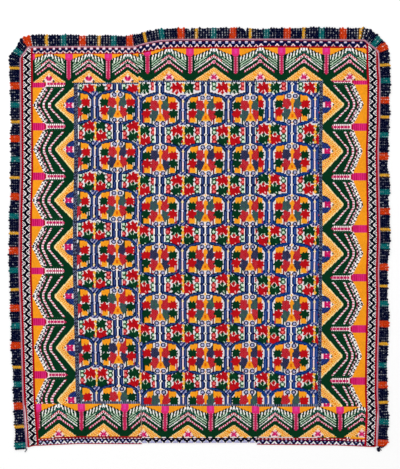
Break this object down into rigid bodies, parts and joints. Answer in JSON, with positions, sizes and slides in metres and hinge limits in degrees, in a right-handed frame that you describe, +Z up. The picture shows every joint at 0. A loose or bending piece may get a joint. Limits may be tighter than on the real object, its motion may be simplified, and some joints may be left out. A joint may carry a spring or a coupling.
{
  "type": "kilim rug",
  "caption": "Flat brocaded kilim rug of joined loom widths, with a sewn edge cord and a crocheted border, lying face up.",
  "frame": {"origin": "on the surface the rug lies on, at the middle of its outline", "axes": "+Z up out of the rug's face, +Y from the plain bottom edge to the top edge, +X to the right as seen from above"},
  "size_m": [1.2962, 1.4464, 0.0046],
  "materials": {
    "brocaded_cloth": "matt hand-woven wool brocade",
    "edge_cord_yarn": "matt twisted cotton cord",
    "crochet_yarn": "matt crocheted wool yarn"
  },
  "bodies": {
    "root": {"panel_left": "brocaded_cloth", "panel_middle": "brocaded_cloth", "panel_right": "brocaded_cloth", "edge_cord": "edge_cord_yarn", "crochet_edging": "crochet_yarn", "yarn_tuft": "crochet_yarn", "thread_end": "crochet_yarn"}
  },
  "joints": []
}
